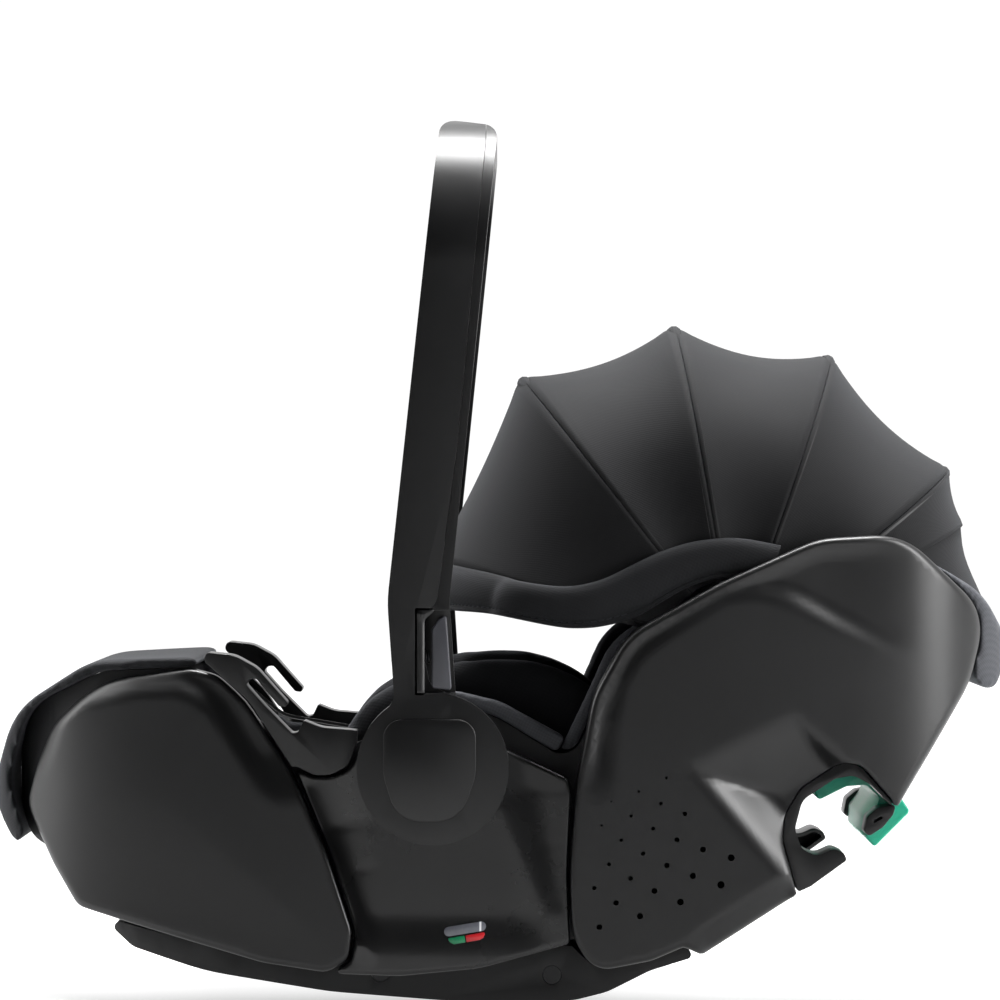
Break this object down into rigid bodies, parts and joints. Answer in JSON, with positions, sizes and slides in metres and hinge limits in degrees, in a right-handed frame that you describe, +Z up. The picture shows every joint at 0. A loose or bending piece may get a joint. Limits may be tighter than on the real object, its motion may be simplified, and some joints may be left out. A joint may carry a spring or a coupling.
{
  "type": "infant car seat",
  "caption": "Rear-facing infant carrier seat with a swinging carry handle, folding canopy, harness, belt guides and a rocker base.",
  "frame": {"origin": "on the floor, under the middle of the seat's bounding box", "axes": "+X towards the child's head, +Y towards the child's right, +Z up"},
  "size_m": [0.6741, 0.4396, 0.5755],
  "materials": {
    "shell": "satin",
    "panel": "gloss",
    "handle": "satin",
    "base": "matte",
    "bucket": "matte",
    "foam": "matte",
    "canopy": "woven",
    "rim": "knitted",
    "liner": "knitted",
    "green": "satin",
    "webbing": "webbing",
    "steel": "brushed",
    "grey": "satin",
    "red": "satin",
    "bow": "satin"
  },
  "bodies": {
    "seat": {"adjuster_housing": "shell", "base_screws": "steel", "base_shell": "base", "belt_channel": "green", "belt_surround_left": "shell", "belt_surround_right": "shell", "bucket_shell": "bucket", "buckle_body": "shell", "buckle_tongue_left": "shell", "buckle_tongue_right": "shell", "canopy_bow_rear": "bow", "canopy_panel_rear": "canopy", "canopy_pins": "shell", "crotch_strap": "webbing", "foam_liner": "foam", "foot_rim_pad": "rim", "foot_shell": "shell", "front_latch_bar": "steel", "head_rim_pad": "rim", "head_shell": "shell", "hub_pivot_left": "shell", "hub_pivot_right": "shell", "indicator_windows": "grey", "lap_belt_guide_left": "shell", "lap_belt_guide_right": "shell", "mid_panel_left": "panel", "mid_panel_right": "panel", "newborn_insert": "liner", "rear_latch_bar": "steel", "seat_liner": "liner", "shoulder_pad_left": "liner", "shoulder_pad_right": "liner", "shoulder_strap_left": "webbing", "shoulder_strap_right": "webbing", "side_rim_pad_left": "rim", "side_rim_pad_right": "rim"},
    "handle": {"handle_front_shell": "handle", "handle_rear_shell": "handle", "hub_caps": "handle"},
    "button_left": {"handle_button_left": "grey", "button_spring_left": "steel"},
    "button_right": {"handle_button_right": "grey", "button_spring_right": "steel"},
    "ring_left": {"lock_ring_left": "shell"},
    "ring_right": {"lock_ring_right": "shell"},
    "headrest": {"headrest_shell": "shell", "headrest_pad": "liner"},
    "bow_fourth": {"canopy_bow_fourth": "bow", "canopy_panel_fourth": "canopy"},
    "bow_third": {"canopy_bow_third": "bow", "canopy_panel_third": "canopy"},
    "bow_second": {"canopy_bow_second": "bow", "canopy_panel_second": "canopy"},
    "bow_front": {"canopy_bow_front": "bow", "canopy_panel_front": "canopy", "canopy_front_band": "rim"},
    "red_button": {"buckle_button": "red"},
    "adjuster": {"adjuster_button": "grey"},
    "lever": {"release_lever": "shell"}
  },
  "joints": [
    {"name": "handle_swing", "type": "hinge", "parent": "seat", "child": "handle", "pos_m": [-0.0433, 0, 0.154], "axis": [0, 1, 0], "range_deg": [0, 104]},
    {"name": "button_left_press", "type": "slide", "parent": "handle", "child": "button_left", "axis": [-1, 0, 0], "range_m": [0, 0.004], "stiffness_N_per_m": 400, "springref_m": -0.004, "deforming": ["button_spring_left"]},
    {"name": "button_right_press", "type": "slide", "parent": "handle", "child": "button_right", "axis": [-1, 0, 0], "range_m": [0, 0.004], "stiffness_N_per_m": 400, "springref_m": -0.004, "deforming": ["button_spring_right"]},
    {"name": "ring_left_slide", "type": "slide", "parent": "handle", "child": "ring_left", "axis": [0, -1, 0], "range_m": [0, 0.003]},
    {"name": "ring_right_slide", "type": "slide", "parent": "handle", "child": "ring_right", "axis": [0, 1, 0], "range_m": [0, 0.003]},
    {"name": "headrest_slide", "type": "slide", "parent": "seat", "child": "headrest", "axis": [0.7967, 0, 0.6044], "range_m": [0, 0.05]},
    {"name": "canopy_fold", "type": "hinge", "parent": "seat", "child": "bow_fourth", "pos_m": [0.152, 0, 0.23], "axis": [0, 1, 0], "range_deg": [0, 16], "deforming": ["canopy_panel_fourth"]},
    {"name": "canopy_fold_third", "type": "hinge", "parent": "bow_fourth", "child": "bow_third", "pos_m": [0.152, 0, 0.23], "axis": [0, 1, 0], "range_deg": [0, 19.2], "deforming": ["canopy_panel_third"]},
    {"name": "canopy_fold_second", "type": "hinge", "parent": "bow_third", "child": "bow_second", "pos_m": [0.152, 0, 0.23], "axis": [0, 1, 0], "range_deg": [0, 17.6], "deforming": ["canopy_panel_second"]},
    {"name": "canopy_fold_front", "type": "hinge", "parent": "bow_second", "child": "bow_front", "pos_m": [0.152, 0, 0.23], "axis": [0, 1, 0], "range_deg": [0, 22.4], "deforming": ["canopy_panel_front"]},
    {"name": "red_button_press", "type": "slide", "parent": "seat", "child": "red_button", "axis": [0.2079, 0, -0.9781], "range_m": [0, 0.004], "stiffness_N_per_m": 500, "springref_m": -0.004},
    {"name": "adjuster_press", "type": "slide", "parent": "seat", "child": "adjuster", "axis": [-0.7256, 0, -0.6881], "range_m": [0, 0.003], "stiffness_N_per_m": 400, "springref_m": -0.004},
    {"name": "release_lever_pull", "type": "hinge", "parent": "seat", "child": "lever", "pos_m": [0.2905, 0, 0.1885], "axis": [0, -1, 0], "range_deg": [0, 14], "stiffness_Nm_per_rad": 0.6, "springref_deg": -5.73}
  ],
  "couplings": [
    {"joint": "ring_left_slide", "follows": "button_left_press", "ratio": 0.75},
    {"joint": "ring_right_slide", "follows": "button_right_press", "ratio": 0.75},
    {"joint": "canopy_fold_third", "follows": "canopy_fold", "ratio": 1.2},
    {"joint": "canopy_fold_second", "follows": "canopy_fold", "ratio": 1.1},
    {"joint": "canopy_fold_front", "follows": "canopy_fold", "ratio": 1.4}
  ]
}
